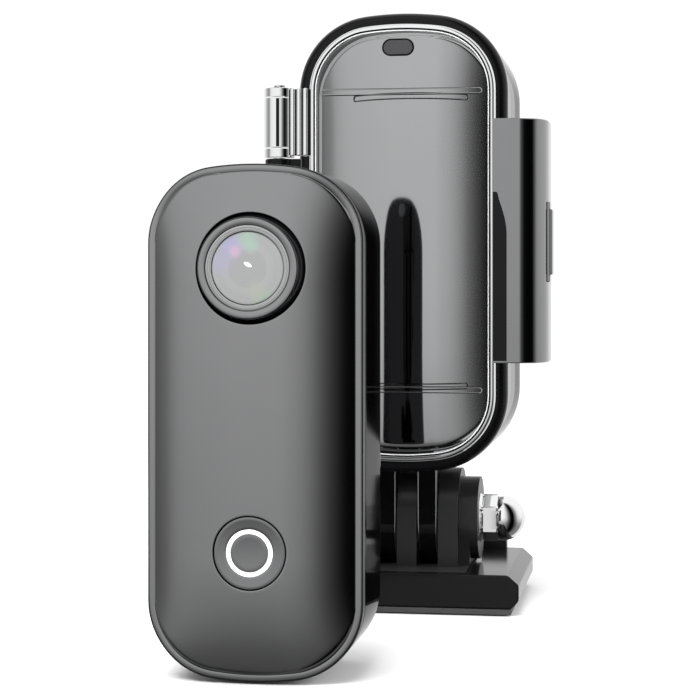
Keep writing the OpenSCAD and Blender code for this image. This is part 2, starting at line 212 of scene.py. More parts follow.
def lens_painted_reflection(name):
    """Lens glass whose pale gray is painted reflection of the bright studio, with soft lighter rings and
    purple, pink and green patches of painted reflection from its coating.
    """
    material, tree, output = shader_tree(name)
    shader = tree.nodes.new("ShaderNodeBsdfPrincipled")
    shader.inputs["Metallic"].default_value = 0.0
    shader.inputs["Roughness"].default_value = 0.08
    shader.inputs["Coat Weight"].default_value = 0.1
    place = tree.nodes.new("ShaderNodeTexCoord")
    shift = tree.nodes.new("ShaderNodeMapping")
    centre = BARE @ Vector((0, 0, LENS_Z)) * MM
    per_metre = 200
    shift.inputs["Location"].default_value = -centre * per_metre
    shift.inputs["Scale"].default_value = (per_metre, 0, per_metre)
    tree.links.new(place.outputs["Object"], shift.inputs["Vector"])
    length = tree.nodes.new("ShaderNodeVectorMath")
    length.operation = "LENGTH"
    flat = tree.nodes.new("ShaderNodeVectorMath")
    flat.operation = "MULTIPLY"
    flat.inputs[1].default_value = (1, 0, 1)
    tree.links.new(shift.outputs["Vector"], flat.inputs[0])
    tree.links.new(flat.outputs["Vector"], length.inputs[0])
    # Pale gray with soft lighter rings by distance from the lens centre; the pale gray is painted reflection of
    # the bright studio.
    rings = tree.nodes.new("ShaderNodeValToRGB")
    stops = ((0.0, 0.262), (0.44, 0.262), (0.49, 0.285), (0.62, 0.28), (0.68, 0.27), (0.86, 0.285))
    for i, (at, value) in enumerate(stops):
        stop = rings.color_ramp.elements[i] if i < 2 else rings.color_ramp.elements.new(at)
        stop.position = at
        stop.color = (value, value * 1.005, value * 1.01, 1)
    tree.links.new(length.outputs["Value"], rings.inputs["Fac"])
    colour = rings.outputs["Color"]
    # Painted reflection: purple, pink and green patches of the coating's coloured reflection, mixed into the
    # colour round fixed spots.
    reflection_patches = (((-0.40, 0.52), 0.40, (0.28, 0.27, 0.46)), ((0.0, 0.68), 0.36, (0.26, 0.38, 0.30)),
               ((0.1, 0.5), 0.25, (0.27, 0.36, 0.32)), ((-0.3, 0.4), 0.22, (0.46, 0.30, 0.38)),
               ((-0.66, 0.15), 0.42, (0.28, 0.27, 0.37)), ((0.38, -0.72), 0.42, (0.26, 0.33, 0.26)),
               ((0.2, -0.5), 0.3, (0.30, 0.31, 0.27)))
    for (u, v), size, tint in reflection_patches:
        away = tree.nodes.new("ShaderNodeVectorMath")
        away.operation = "DISTANCE"
        away.inputs[1].default_value = (u, 0, v)
        tree.links.new(flat.outputs["Vector"], away.inputs[0])
        fade = tree.nodes.new("ShaderNodeMapRange")
        fade.interpolation_type = "SMOOTHSTEP"
        fade.inputs["From Min"].default_value = size
        fade.inputs["From Max"].default_value = size * 0.2
        fade.inputs["To Max"].default_value = 0.62
        tree.links.new(away.outputs["Value"], fade.inputs["Value"])
        mix = tree.nodes.new("ShaderNodeMix")
        mix.data_type = "RGBA"
        mix.inputs["B"].default_value = (*tint, 1)
        tree.links.new(fade.outputs["Result"], mix.inputs["Factor"])
        tree.links.new(colour, mix.inputs["A"])
        colour = mix.outputs["Result"]
    tree.links.new(colour, shader.inputs["Base Color"])
    tree.links.new(shader.outputs["BSDF"], output.inputs["Surface"])
    return material


def make_materials():
    """One material for each finish slot of the record, and a few more for parts of a piece."""
    return {
        "satin_gray": surface("satin_gray", (0.30, 0.302, 0.306), 1.0, 0.15, tone=0.02, bump=0.01,
                              grain=2600),
        "gloss_gray": surface("gloss_gray", (0.10, 0.101, 0.104), 1.0, 0.07, tone=0.03, edge=0.3),
        "gloss_dark": surface("gloss_dark", (0.03, 0.03, 0.032), 1.0, 0.06, tone=0.03, edge=0.4),
        "matte_gray": surface("matte_gray", (0.43, 0.432, 0.436), 1.0, 0.05, tone=0.02),
        "black_seal": surface("black_seal", (0.006, 0.006, 0.007), 0.0, 0.35, bump=0.1),
        "lens_black": surface("lens_black", (0.008, 0.008, 0.009), 0.0, 0.12, coat=0.6, bump=0.02),
        # Pale metal for the lens trim and the frame ledge, and for painted highlights on the door ribs and the
        # finger edges.
        "trim_metal": surface("trim_metal", (0.50, 0.502, 0.505), 1.0, 0.22, bump=0.05, grain=3000),
        "lens_glass": lens_painted_reflection("lens_glass"),
        "sensor_blue": surface("sensor_blue", (0.03, 0.05, 0.12), 0.4, 0.15, bump=0.2, grain=4000),
        "circuit_board": surface("circuit_board", (0.012, 0.09, 0.035), 0.0, 0.4, bump=0.5, grain=1500,
                                 tone=0.3),
        "chip_black": surface("chip_black", (0.015, 0.015, 0.016), 0.0, 0.5, bump=0.3, grain=3000),
        "copper": surface("copper", (0.62, 0.32, 0.18), 1.0, 0.3, bump=0.2, tone=0.12),
        "chassis": surface("chassis", (0.06, 0.062, 0.066), 0.0, 0.5, bump=0.35, grain=2000),
        "battery_wrap": surface("battery_wrap", (0.035, 0.09, 0.24), 0.0, 0.3, bump=0.15, tone=0.1),
        "nickel": surface("nickel", (0.55, 0.55, 0.54), 1.0, 0.22, bump=0.1),
        "brass_can": surface("brass_can", (0.6, 0.5, 0.28), 1.0, 0.28, bump=0.1),
        "dark_window": surface("dark_window", (0.10, 0.10, 0.105), 1.0, 0.12),
        "button_gray": surface("button_gray", (0.25, 0.252, 0.256), 1.0, 0.2, tone=0.02, bump=0.04,
                               grain=2600),
        # Glowing white: the light ring of the button, and the painted highlight of the lens glint.
        "light_ring": surface("light_ring", (0.9, 0.9, 0.9), 0.0, 0.4, glow=0.35, tone=0.0),
        "clear_case": clear_plastic("clear_case", (0.95, 0.955, 0.96)),
        "clear_pane": clear_plastic("clear_pane", (0.97, 0.972, 0.975), index=1.12),
        "clear_shell": clear_plastic("clear_shell", (0.76, 0.765, 0.77), shine_level=0.3),
        # Opaque white for the door bead: a painted highlight along the edge of the clear door.
        "painted_highlight_white": surface("painted_highlight_white", (0.86, 0.87, 0.88), 0.0, 0.08, coat=1.0, tone=0.08),
        "clear_knuckle": surface("clear_knuckle", (0.9, 0.905, 0.91), 1.0, 0.06, tone=0.03),
        # Near-black metal for painted dark marks: the shade on the latch, the shade at the roots of the door
        # ribs and the reflection stripes on the knuckles; also the door straps.
        "near_black_metal": surface("near_black_metal", (0.02, 0.02, 0.021), 1.0, 0.1),
        "base_black": surface("base_black", (0.005, 0.005, 0.0055), 0.0, 0.14, specular=0.2, bump=0.02,
                              grain=2400),
        "gloss_black": surface("gloss_black", (0.003, 0.003, 0.0035), 0.0, 0.06, specular=0.18),
        "port_glass": clear_plastic("port_glass", (0.93, 0.95, 0.96)),
        "plunger_silver": surface("plunger_silver", (0.5, 0.5, 0.51), 1.0, 0.25, bump=0.12),
        "latch_gray": surface("latch_gray", (0.275, 0.277, 0.281), 1.0, 0.13, tone=0.02, bump=0.02),
        "pad_foam": surface("pad_foam", (0.065, 0.065, 0.067), 0.0, 0.8, bump=0.8, grain=2500, tone=0.25),
        "satin_black": surface("satin_black", (0.022, 0.022, 0.023), 0.0, 0.3, specular=0.3, bump=0.15,
                               grain=2400, tone=0.15),
        "chrome": surface("chrome", (0.92, 0.92, 0.92), 1.0, 0.05, tone=0.02),
        "steel": surface("steel", (0.62, 0.62, 0.62), 1.0, 0.2, bump=0.08),
    }


LOOKS = make_materials()
SLOT_OF = {entry["node"]: entry["material_slot"] for entry in frame["record"]["subparts"]}
BODY_OF = {n: body for body, members in frame["record"]["behaviour"]["bodies"].items() for n in members}


# ---- mesh helpers ----


def add_mesh(name, points, faces, look, body, nodes=(), place=None, weighted=True):
    """A mesh of row or local millimetres, as a piece on a body."""
    place = place or Matrix()
    mesh = bpy.data.meshes.new(name)
    mesh.from_pydata([(place @ Vector(p)) * MM for p in points], [], faces)
    mesh.validate()
    shape = bmesh.new()
    shape.from_mesh(mesh)
    bmesh.ops.recalc_face_normals(shape, faces=shape.faces)
    shape.to_mesh(mesh)
    shape.free()
    mesh.shade_smooth()
    mesh.set_sharp_from_angle(angle=math.radians(40))
    piece = bpy.data.objects.new(name, mesh)
    bpy.context.scene.collection.objects.link(piece)
    mesh.materials.append(LOOKS[look])
    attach(piece, body)
    if nodes:
        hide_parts(*nodes)
    if weighted:
        piece.modifiers.new("normals", "WEIGHTED_NORMAL").keep_sharp = True
    return piece


def unreflected(*pieces):
    """Keeps pieces out of the reflections in the glossy panels."""
    for piece in pieces:
        piece.visible_glossy = False


def join_rings(rings, cap_start=False, cap_end=False):
    """Points and faces of the skin between rings of equal length."""
    count = len(rings[0])
    points = [p for ring in rings for p in ring]
    faces = []
    for r in range(len(rings) - 1):
        for i in range(count):
            j = (i + 1) % count
            faces.append((r * count + i, r * count + j, (r + 1) * count + j, (r + 1) * count + i))
    if cap_start:
        faces.append(tuple(range(count)))
    if cap_end:
        faces.append(tuple(range((len(rings) - 1) * count, len(rings) * count)))
    return points, faces


def lathe(profile, x, z, steps=128):
    """Points and faces of (radius, y) pairs turned about an axis along Y."""
    rings = []
    for radius, y in profile:
        angles = (2 * math.pi * i / steps for i in range(steps))
        rings.append([(x + radius * math.cos(a), y, z + radius * math.sin(a)) for a in angles])
    return join_rings(rings)


def upright(profile, x, y, steps):
    """Points and faces of (radius, z) pairs turned about an axis along Z."""
    rings = []
    for radius, z in profile:
        angles = (2 * math.pi * i / steps for i in range(steps))
        rings.append([(x + radius * math.cos(a), y + radius * math.sin(a), z) for a in angles])
    return join_rings(rings)


class Outline:
    """Rounded outline with domed ends: the centre, radius and outward direction of each point on it."""

    def __init__(self, width, height, corner, dome, base=0.0, steps=14, breaks=()):
        self.width, self.height, self.corner, self.dome, self.base = width, height, corner, dome, base
        self.cx = width / 2 - corner
        self.low = dome - math.sqrt((dome - corner) ** 2 - self.cx**2)
        tilt = math.degrees(math.asin(self.cx / (dome - corner)))
        high = height - self.low
        self.stations = []
        self.arc(self.cx, high, corner, 0, 90 - tilt, steps)
        self.arc(0, height - dome, dome, 90 - tilt, 90 + tilt, steps)
        self.arc(-self.cx, high, corner, 90 + tilt, 180, steps)
        levels = [high, *sorted(breaks, reverse=True), self.low]
        for top, bottom in zip(levels, levels[1:]):
            share = (top - bottom) / (high - self.low)
            self.side(-self.cx, top, bottom, -1, max(2, round(share * 5 * steps)))
        self.arc(-self.cx, self.low, corner, 180, 270 - tilt, steps)
        self.arc(0, dome, dome, 270 - tilt, 270 + tilt, steps)
        self.arc(self.cx, self.low, corner, 270 + tilt, 360, steps)
        self.side(self.cx, self.low, high, 1, 5 * steps)

    def arc(self, x, z, radius, start, end, steps):
        """Adds a round stretch between two angles in degrees."""
        for i in range(steps):
            a = math.radians(start + (end - start) * i / steps)
            self.stations.append((x, z, radius, math.cos(a), math.sin(a)))

    def side(self, x, start, end, way, steps):
        """Adds a straight side, which faces left or right by way."""
        for i in range(steps):
            self.stations.append((x, start + (end - start) * i / steps, self.corner, way, 0.0))

    def ring(self, inset, y):
        """The outline moved inwards, at depth y, which may be a function of x and z."""
        ring = []
        for x, z, radius, u, v in self.stations:
            px, pz = x + (radius - inset) * u, z + (radius - inset) * v
            ring.append((px, y(px, pz) if callable(y) else y, pz + self.base))
        return ring

    def depth_inside(self, x, z):
        """Distance from the outline to a point inside it."""
        x = abs(x)
        z = min(z, self.height - z)
        edge = min(self.width / 2 - x, self.dome - math.hypot(x, z - self.dome))
        if x > self.cx and z < self.low:
            edge = min(edge, self.corner - math.hypot(x - self.cx, z - self.low))
        return edge


# The doorway for the port cover in the left wall of the bare camera: z0, z1, y0, y1
DOORWAY = (21.0, 44.0, 3.0, 9.4)
CAMERA_LINE = Outline(CAM_W, CAM_H, CORNER_R, DOME_R, steps=22, breaks=DOORWAY[:2])
CASE_LINE = Outline(CASE_W, CASE_H, CASE_R, CASE_DOME, CASE_Z, steps=16)


def refined(node, bevel=0.25, segments=3, look=None, angle=32):
    """A copy of a CAD node's shape with its sharp edges rounded, which stands for the node."""
    source = frame["nodes"][node]
    mesh = source.data.copy()
    shape = bmesh.new()
    shape.from_mesh(mesh)
    bmesh.ops.remove_doubles(shape, verts=shape.verts, dist=0.000004)
    bmesh.ops.dissolve_limit(shape, angle_limit=math.radians(0.8), verts=shape.verts, edges=shape.edges)
    shape.to_mesh(mesh)
    shape.free()
    mesh.shade_smooth()
    mesh.set_sharp_from_angle(angle=math.radians(angle))
    piece = bpy.data.objects.new(node + "_moulded", mesh)
    bpy.context.scene.collection.objects.link(piece)
    mesh.materials.clear()
    mesh.materials.append(LOOKS[look or SLOT_OF[node]])
    rounding = piece.modifiers.new("edge", "BEVEL")
    rounding.width = bevel * MM
    rounding.segments = segments
    rounding.limit_method = "ANGLE"
    rounding.angle_limit = math.radians(angle)
    rounding.harden_normals = True
    rounding.use_clamp_overlap = True
    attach(piece, BODY_OF[node])
    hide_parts(node)


# ---- the bulged panels of the camera ----


def rim_rise(x, z):
    """How far the rim comes forward at the middle of the domed ends, less at the lower one."""
    end = min(1.0, max(0.0, 1 - (min(z, CAM_H - z) - RIM) / (CAMERA_LINE.low - RIM)))
    soft = end * end * (3 - 2 * end)
    return (RIM_RISE_TOP if z > CAM_H / 2 else RIM_RISE_LOW) * max(0.0, 1 - (x / (CAM_W / 2 - RIM)) ** 2) * soft


def panel_rise(x, z, back=False):
    """Height of the bulged panel. The back falls less at its ends, the lower front end most."""
    radius = BACK_R if back else CROWN_R
    sag = math.sqrt(radius**2 - x * x) - (radius - CROWN)
    end = max(0.0, 1 - (min(z, CAM_H - z) - RIM) / 14)
    full = sag * (1 - (0.12 if back else 0.35) * end**2 - (0 if back or z > CAM_H / 2 else 0.36) * end**8)
    rim = rim_rise(x, z)
    steep = 4.0 if back else 2.5 - (0 if z > CAM_H / 2 else 1.5 * end**4)
    edge = steep * max(0.0, CAMERA_LINE.depth_inside(x, z) - (BACK_RIM if back else RIM))
    rise = max(0.0, full - rim)
    if edge < 1e-6 or rise < 1e-6:
        return rim
    return rim + (rise**-4 + edge**-4) ** -0.25


def past_rim(amount, way=-1, turn=0.0):
    """Depth amount behind the rim's straight part, moved with the rim, and turned down at the lower end."""
    return lambda x, z: amount + way * rim_rise(x, z) + turn * max(0.0, 1 - z / 20)


def hole_distance(hole, x, z):
    """Distance from the edge of a round or slotted hole, positive outside it."""
    hx, hz, radius, half = hole
    return math.hypot(max(abs(x - hx) - half, 0), z - hz) - radius


def hole_ring(hole, grow, steps=96):
    """Points round a round or slotted hole, with points on the straights of a slot."""
    hx, hz, radius, half = hole
    radius += grow
    ring = []
    for i in range(steps):
        a = 2 * math.pi * i / steps
        shift = half if math.cos(a) > 1e-9 else -half
        if half and i in (steps // 4, 3 * steps // 4):
            way = -1 if i == steps // 4 else 1
            for step in range(-10, 11):
                ring.append((hx + way * half * step / 10, hz + radius * math.sin(a)))
            continue
        ring.append((hx + shift + radius * math.cos(a), hz + radius * math.sin(a)))
    return ring


def panel_height(holes, x, z, back):
    """Height with the small rounding at the holes."""
    height = panel_rise(x, z, back)
    for hole in holes:
        near = hole_distance(hole, x, z) / HOLE_EDGE
        if near < 1:
            height -= HOLE_EDGE * (1 - math.sqrt(max(0.0, 1 - (1 - max(near, 0)) ** 2)))
    return height


def panel(name, place, holes, back, look, body, lean=0.0):
    """The bulged panel as one smooth sheet with its holes, facing -Y, or +Y on the back.

    lean turns its shading by that many degrees, and leaves its shape as it is.
    """
    line = CAMERA_LINE
    rim = BACK_RIM if back else RIM
    flat = [(x, z) for x, _, z in line.ring(rim, 0)]
    edges = [(i, (i + 1) % len(flat)) for i in range(len(flat))]
    for hole in holes:
        start = len(flat)
        ring = hole_ring(hole, 0)
        flat += ring
        edges += [(start + i, start + (i + 1) % len(ring)) for i in range(len(ring))]
        for grow in (0.02, 0.06, HOLE_EDGE, 0.4, 0.8):
            flat += hole_ring(hole, grow)
    for inset in (0.12, 0.28, 0.5, 0.8, 1.15):
        flat += [(x, z) for x, _, z in line.ring(rim + inset, 0)]
    step = 0.5
    for i in range(int(CAM_W / step) + 1):
        for j in range(int(CAM_H / step) + 1):
            x, z = i * step - CAM_W / 2, j * step + (0.5 * step if i % 2 else 0)
            if line.depth_inside(x, z) > rim + 1.5 and all(hole_distance(h, x, z) > 1.1 for h in holes):
                flat.append((x, z))
    found = delaunay_2d_cdt([Vector(p) for p in flat], edges, [], 0, 1e-5)
    corners, faces = found[0], found[2]
    kept = []
    for face in faces:
        x = sum(corners[i].x for i in face) / len(face)
        z = sum(corners[i].y for i in face) / len(face)
        if line.depth_inside(x, z) > rim - 0.001 and all(hole_distance(h, x, z) > 0 for h in holes):
            kept.append(tuple(face))
    way = 1 if back else -1
    start = CAM_D if back else 0.0

    def height(x, z):
        return panel_height(holes, x, z, back)

    points = [Vector((p.x, start + way * height(p.x, p.y), p.y)) for p in corners]
    mesh = bpy.data.meshes.new(name)
    mesh.from_pydata([(place @ p) * MM for p in points], [], kept)
    normals = []
    turn = Matrix.Rotation(math.radians(lean), 3, "Z") @ place.to_3x3()
    for p in corners:
        e = 0.02
        slope_x = (height(p.x + e, p.y) - height(p.x - e, p.y)) / (2 * e)
        slope_z = (height(p.x, p.y + e) - height(p.x, p.y - e)) / (2 * e)
        normals.append((turn @ Vector((-slope_x, way, -slope_z))).normalized())
    shape = bmesh.new()
    shape.from_mesh(mesh)
    outward = turn @ Vector((0, way, 0))
    for face in shape.faces:
        face.normal_update()
        if face.normal.dot(outward) < 0:
            face.normal_flip()
    shape.to_mesh(mesh)
    shape.free()
    mesh.shade_smooth()
    mesh.normals_split_custom_set_from_vertices(normals)
    piece = bpy.data.objects.new(name, mesh)
    bpy.context.scene.collection.objects.link(piece)
    mesh.materials.append(LOOKS[look])
    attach(piece, body)
    for number, hole in enumerate(holes):
        deep = 0.5 if back else 1.6
        edge = [(x, start + way * height(x, z), z) for x, z in hole_ring(hole, 0)]
        inner = [(x, start + way * (height(x, z) - deep), z) for x, z in hole_ring(hole, 0)]
        points, sides = join_rings([edge, inner])
        # The hole walls take the near-black seal material: painted shade inside the holes and in the gap round
        # the button.
        add_mesh(f"{name}_bore_{number}", points, sides, "black_seal", body, place=place)


def front_body(prefix, place, look, body, nodes):
    """Rim and rounded side of the front cover. The rim turns down a little at the lower end."""
    line, turn = CAMERA_LINE, 0.14
    outer = ((0.4, 0.3), (0.19, 0.25), (0.18, 0.14), (0.19, 0.06), (0.24, 0.01), (0.3, 0.0))
    rings = [line.ring(inset, past_rim(y, turn=turn)) for inset, y in outer]
    rings += [line.ring(inset, past_rim(y)) for inset, y in ((RIM - 0.05, 0.0), (RIM, 0.02))]
    points, faces = join_rings(rings)
    add_mesh(prefix + "_front_rim", points, faces, look, body, nodes, place)


def seam(prefix, place, body, nodes=()):
    """Black seal between the covers, just proud of the front one, following the rim."""
    profile = ((0.5, 0.14), (0.12, 0.14), (0.02, 0.2), (0.0, 0.3), (0.0, 1.45), (0.06, 1.52), (0.4, 1.52))
    points, faces = join_rings([CAMERA_LINE.ring(inset, past_rim(y)) for inset, y in profile])
    add_mesh(prefix + "_seam", points, faces, "black_seal", body, nodes, place)


def rear_body(prefix, place, look, body, nodes, gap=None):
    """Side wall and back rim of the rear cover. gap is the doorway (z0, z1, y0, y1) in the left wall."""
    line = CAMERA_LINE
    front = ((1.1, 1.5), (0.16, 1.5), (0.04, 1.58), (0.0, 1.7))
    rings = [line.ring(inset, past_rim(y)) for inset, y in front]
    rings += [line.ring(0.0, y) for y in (*DOORWAY[2:], 14.2)]
    back = ((0.03, CAM_D - 0.25), (0.12, CAM_D - 0.08), (0.22, CAM_D), (BACK_RIM, CAM_D))
    rings += [line.ring(inset, past_rim(y, 1)) for inset, y in back]
    points, faces = join_rings(rings)
    if gap:
        low, high, near, far = gap
        faces = [f for f in faces if not all(points[i][0] < -13.1 and near - 0.1 < points[i][1] < far + 0.1
                                             and low - 0.1 < points[i][2] < high + 0.1 for i in f)]
    add_mesh(prefix + "_rear_wall", points, faces, look, body, nodes, place)


def window_pane(prefix, place, body, nodes):
    """Small dark window that follows the bulge of the back."""
    x, z, radius, half = WINDOW
    inner = (x, z, radius - 0.1, half)
    rings = []
    for grow, drop in ((0.0, 0.5), (0.0, 0.06), (-0.05, 0.02), (-0.15, 0.0), (-0.5, 0.0), (-0.9, 0.0)):
        flat = hole_ring(inner, grow)
        rings.append([(px, CAM_D + panel_rise(px, pz, True) - drop - 0.03, pz) for px, pz in flat])
    points, faces = join_rings(rings, cap_end=True)
    add_mesh(prefix + "_window_pane", points, faces, "dark_window", body, nodes, place)


def lens_set(prefix, place, body, names):
    """Lens ring with its gray face, stepped trim and glass."""
    ring, trim, glass = names
    profile = [(7.2, 0.2), (6.6, 0.0), (6.58, -2.0), (6.5, -2.25), (6.42, -2.4), (6.4, -2.7), (6.12, -3.9),
               (6.08, -4.1), (6.0, -4.2), (5.93, -4.235)]
    points, faces = lathe(profile, 0, LENS_Z)
    add_mesh(prefix + "_lens_side", points, faces, "lens_black", body, [ring], place)
    face = [(5.93, -4.235), (5.88, -4.25), (5.2, -4.25), (5.13, -4.2), (5.13, -3.3)]
    points, faces = lathe(face, 0, LENS_Z)
    add_mesh(prefix + "_lens_face", points, faces, "satin_gray", body, [], place)
    steps = [(5.11, -3.2), (5.1, -4.13), (5.04, -4.18), (4.86, -4.18), (4.83, -4.13), (4.78, -4.13),
             (4.75, -4.17), (4.60, -4.17), (4.57, -4.12), (4.5, -4.12), (4.42, -4.1), (4.38, -4.0),
             (4.36, -3.5)]
    points, faces = lathe(steps, 0, LENS_Z)
    nodes = [trim] if trim else []
    add_mesh(prefix + "_lens_trim", points, faces, "trim_metal", body, nodes, place)
    dome = [(4.34, -3.5), (4.33, -3.92), (4.29, -3.97), (4.2, -4.0)]
    dome += [(4.2 * (1 - i / 12), -4.0 - 0.14 * (1 - (1 - i / 12) ** 2)) for i in range(1, 12)]
    points, faces = lathe(dome, 0, LENS_Z)
    faces.append(tuple(range(len(points) - 128, len(points))))
    add_mesh(prefix + "_lens_glass", points, faces, "lens_glass", body, [glass], place)


def glint(place, body):
    """Painted highlight on the lens glass: a small glowing almond, as a thin raised facet."""
    outline = []
    for i in range(40):
        a = 2 * math.pi * i / 40
        outline.append((0.55 * math.cos(a), 0.24 * math.sin(a) * abs(math.sin(a)) ** 0.4))
    turn = math.radians(-28)
    rings = []
    for scale, y in ((1.0, -4.13), (0.85, -4.165), (0.5, -4.175)):
        ring = []
        for u, v in outline:
            x = scale * (u * math.cos(turn) - v * math.sin(turn))
            z = scale * (u * math.sin(turn) + v * math.cos(turn))
            ring.append((x + 0.06, y, LENS_Z + 0.42 + z))
        rings.append(ring)
    points, faces = join_rings(rings, cap_end=True)
    # The glint takes the glowing light ring material: a painted highlight.
    add_mesh("lens_glint", points, faces, "light_ring", body, [], place)


def button(prefix, place, body, node, ring_node=None):
    """Shutter button with its curved face, and the white ring let into it."""
    bands = [("face", 0.0, BUTTON_R, "button_gray", 0.0)]
    if ring_node:
        bands = [("face_inner", 0.0, LIGHT_IN, "button_gray", 0.0),
                 ("face_outer", LIGHT_OUT, BUTTON_R, "button_gray", 0.0),
                 ("ring", LIGHT_IN, LIGHT_OUT, "light_ring", 0.02)]
    for label, inner, outer, look, lift in bands:
        radii = [inner + (outer - inner) * i / 8 for i in range(9)]
        rings = []
        for radius in radii:
            ends = [d for d in (radius - inner if inner else 1, outer - radius) if d < 0.12]
            ring = []
            for i in range(96):
                a = 2 * math.pi * i / 96
                x, z = max(radius, 0.01) * math.cos(a), max(radius, 0.01) * math.sin(a)
                drop = (0.05 if ends else 0.0) + BUTTON_DISH * (1 - (radius / BUTTON_R) ** 2)
                ring.append((x, -panel_rise(x, BUTTON_Z + z) + 0.12 + drop - lift, BUTTON_Z + z))
            rings.append(ring)
        skirt = [(x, -1.0, z) for x, _, z in rings[-1]]
        points, faces = join_rings(rings + [skirt], cap_start=inner == 0)
        nodes = {"face": [node], "face_inner": [node], "ring": [ring_node]}.get(label, [])
        add_mesh(f"{prefix}_button_{label}", points, faces, look, body, nodes, place)


def camera_shell(prefix, place, body, nodes, lens_names, looks, gap=None, lean=0.0):
    """Both covers, the window and the lens of one camera."""
    front, rear, window = nodes
    look_front, look_rear, look_back = looks
    front_holes = [(0, LENS_Z, LENS_HOLE, 0), (0, BUTTON_Z, BUTTON_R + BUTTON_GAP, 0)]
    speakers = [(5 + dx, 53, 0.5, 0) for dx in (-2, 0, 2)] if gap else []
    panel(prefix + "_front_panel", place, front_holes, False, look_front, body)
    front_body(prefix, place, look_front, body, [front])
    seam(prefix, place, body, ["seam_gasket"] if prefix == "bare" else [])
    panel(prefix + "_back_panel", place, [WINDOW] + speakers, True, look_back, body, lean)
    rear_body(prefix, place, look_rear, body, [rear], gap)
    window_pane(prefix, place, body, [window])
    lens_set(prefix, place, body, lens_names)


def make_cameras():
    """The bare camera, and the one in the case with its outside pieces only."""
    covers = ("front_cover", "rear_cover", "rear_window")
    lens = ("lens_ring", "lens_trim_ring", "lens_cover_glass")
    looks = ("satin_gray", "gloss_gray", "gloss_dark")
    camera_shell("bare", BARE, "camera", covers, lens, looks, gap=DOORWAY)
    glint(BARE, "camera")
    button("bare", BARE, "shutter", "shutter_button", "button_light_ring")
    housed_body = BODY_OF["housed_rear_cover"]
    covers = ("housed_front_cover", "housed_rear_cover", "housed_rear_window")
    lens = ("housed_lens_ring", None, "housed_glass")
    camera_shell("housed", HOUSED, housed_body, covers, lens, ("matte_gray",) * 3, lean=-2.8)
    button("housed", HOUSED, housed_body, "housed_button")


# ---- dive case ----


def case_rings(name, profile, look, body, nodes=(), cap=False):
    """Skin round the case outline through (inset, y) pairs, kept out of reflections."""
    rings = [CASE_LINE.ring(inset, y) for inset, y in profile]
    points, faces = join_rings(rings, cap_end=cap)
    unreflected(add_mesh(name, points, faces, look, body, nodes))


def arc_pairs(t0, y0, t1, y1, steps=6):
    """Quarter-round between two (inset, y) pairs."""
    pairs = []
    for i in range(steps + 1):
        a = math.pi / 2 * i / steps
        pairs.append((t0 + (t1 - t0) * (1 - math.cos(a)), y0 + (y1 - y0) * math.sin(a)))
    return pairs


def make_case():
    """Black frame, and the door with its edge, groove, bead and pane."""
    frame_body = BODY_OF["case_frame"]
    band = [(1.7, FRAME_FRONT), (0.0, FRAME_FRONT)] + arc_pairs(0.0, -11.2, 1.65, FRAME_BACK)
    band += [(1.7, -12.9), (1.7, -10.2)]
    case_rings("frame_band", band, "gloss_black", frame_body)
    ledge = [(1.7, -10.1), (1.75, -9.9), (2.15, -9.0), (2.2, -8.6)]
    case_rings("frame_ledge", ledge, "trim_metal", frame_body)
    door_body = BODY_OF["case_door"]
    edge = [(1.75, -11.8), (1.75, -12.9)] + arc_pairs(1.75, -12.9, 2.25, -13.45)
    edge += [(2.35, -13.46), (2.4, -13.35)]
    case_rings("door_edge", edge, "clear_knuckle", door_body)
    groove = [(2.4, -13.3), (2.46, -13.2), (2.56, -13.2), (2.62, -13.3)]
    case_rings("door_groove", groove, "gloss_black", door_body)
    # The white bead is a painted highlight on the clear door edge.
    bead = [(2.62, -13.3), (2.66, -13.44), (2.76, -13.44), (2.8, -13.3)]
    case_rings("door_bead", bead, "painted_highlight_white", door_body)
    pane = [(2.8, -13.3), (3.0, DOOR_BACK), (4.0, DOOR_BACK)]
    case_rings("door_pane", pane, "clear_pane", door_body, ["case_door"], cap=True)


def door_ribs():
    """Two thin raised ribs with rounded ends across the door, each a light bead that is a painted highlight,
    with a dark root that is painted shade.
    """
    for number, z in enumerate((32.25, 75.65)):
        hole = (0, z, 0.42, 11.4)
        # The light bead is a painted highlight, the near-black root painted shade.
        for label, outside, inside, top, look in (("bead", 0.0, -0.1, -13.85, "trim_metal"),
                                                  ("root", 0.09, 0.0, -13.6, "near_black_metal")):
            rings = []
            for grow, y in ((outside, DOOR_BACK), (outside, top + 0.05), (outside - 0.03, top),
                            (inside + 0.02, top), (inside, top + 0.05), (inside, DOOR_BACK)):
                rings.append([(x, y, zz) for x, zz in hole_ring(hole, grow, 48)])
            points, faces = join_rings(rings)
            name = f"door_rib_{label}_{number}"
            add_mesh(name, points, faces, look, BODY_OF["case_door"])


